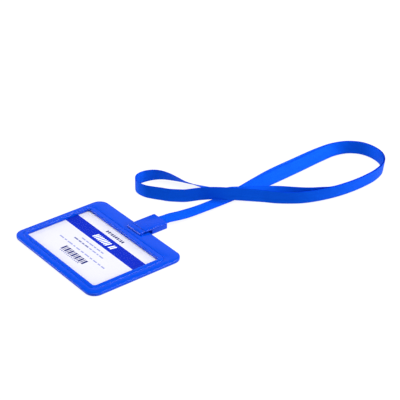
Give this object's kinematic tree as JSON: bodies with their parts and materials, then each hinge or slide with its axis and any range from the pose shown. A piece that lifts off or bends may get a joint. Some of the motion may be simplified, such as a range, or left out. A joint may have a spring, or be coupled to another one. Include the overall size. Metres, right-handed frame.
{
  "type": "lanyard badge holder",
  "caption": "Rigid landscape card holder with a clear window, a fold-over strap clip on its top border and a flat lanyard strap looped back on itself.",
  "frame": {"origin": "bottom centre of the holder and clip together, on the surface they lie on", "axes": "+X along the card's long side, to the right as the card is read; +Y towards the clip; +Z out of the window"},
  "size_m": [0.1102, 0.2864, 0.0131],
  "materials": {
    "blue_shell": "smooth injection moulding, soft gloss",
    "blue_clip": "smooth injection moulding, soft gloss",
    "clear_window": "clear rigid film",
    "printed_card": "printed card stock",
    "satin_strap": "flat woven polyester with a satin face"
  },
  "bodies": {
    "clip": {"clip_base": "blue_clip", "lanyard_strand_upper": "satin_strap", "lanyard_strand_lower": "satin_strap"},
    "flap": {"clip_flap": "blue_clip"},
    "holder": {"holder_bezel": "blue_shell", "holder_back": "blue_shell", "window_sheet": "clear_window"},
    "card": {"insert_card": "printed_card"}
  },
  "joints": [
    {"name": "flap_hinge", "type": "hinge", "parent": "clip", "child": "flap", "pos_m": [0.0013, 0.02745, 0.0048], "axis": [1, 0, 0], "range_deg": [0, 110]},
    {"name": "holder_swing", "type": "hinge", "parent": "clip", "child": "holder", "pos_m": [0.0013, 0.0288, 0.0023], "axis": [-1, 0, 0], "range_deg": [-6, 6]},
    {"name": "card_slide", "type": "slide", "parent": "holder", "child": "card", "axis": [-1, 0, 0], "range_m": [0, 0.08]}
  ]
}
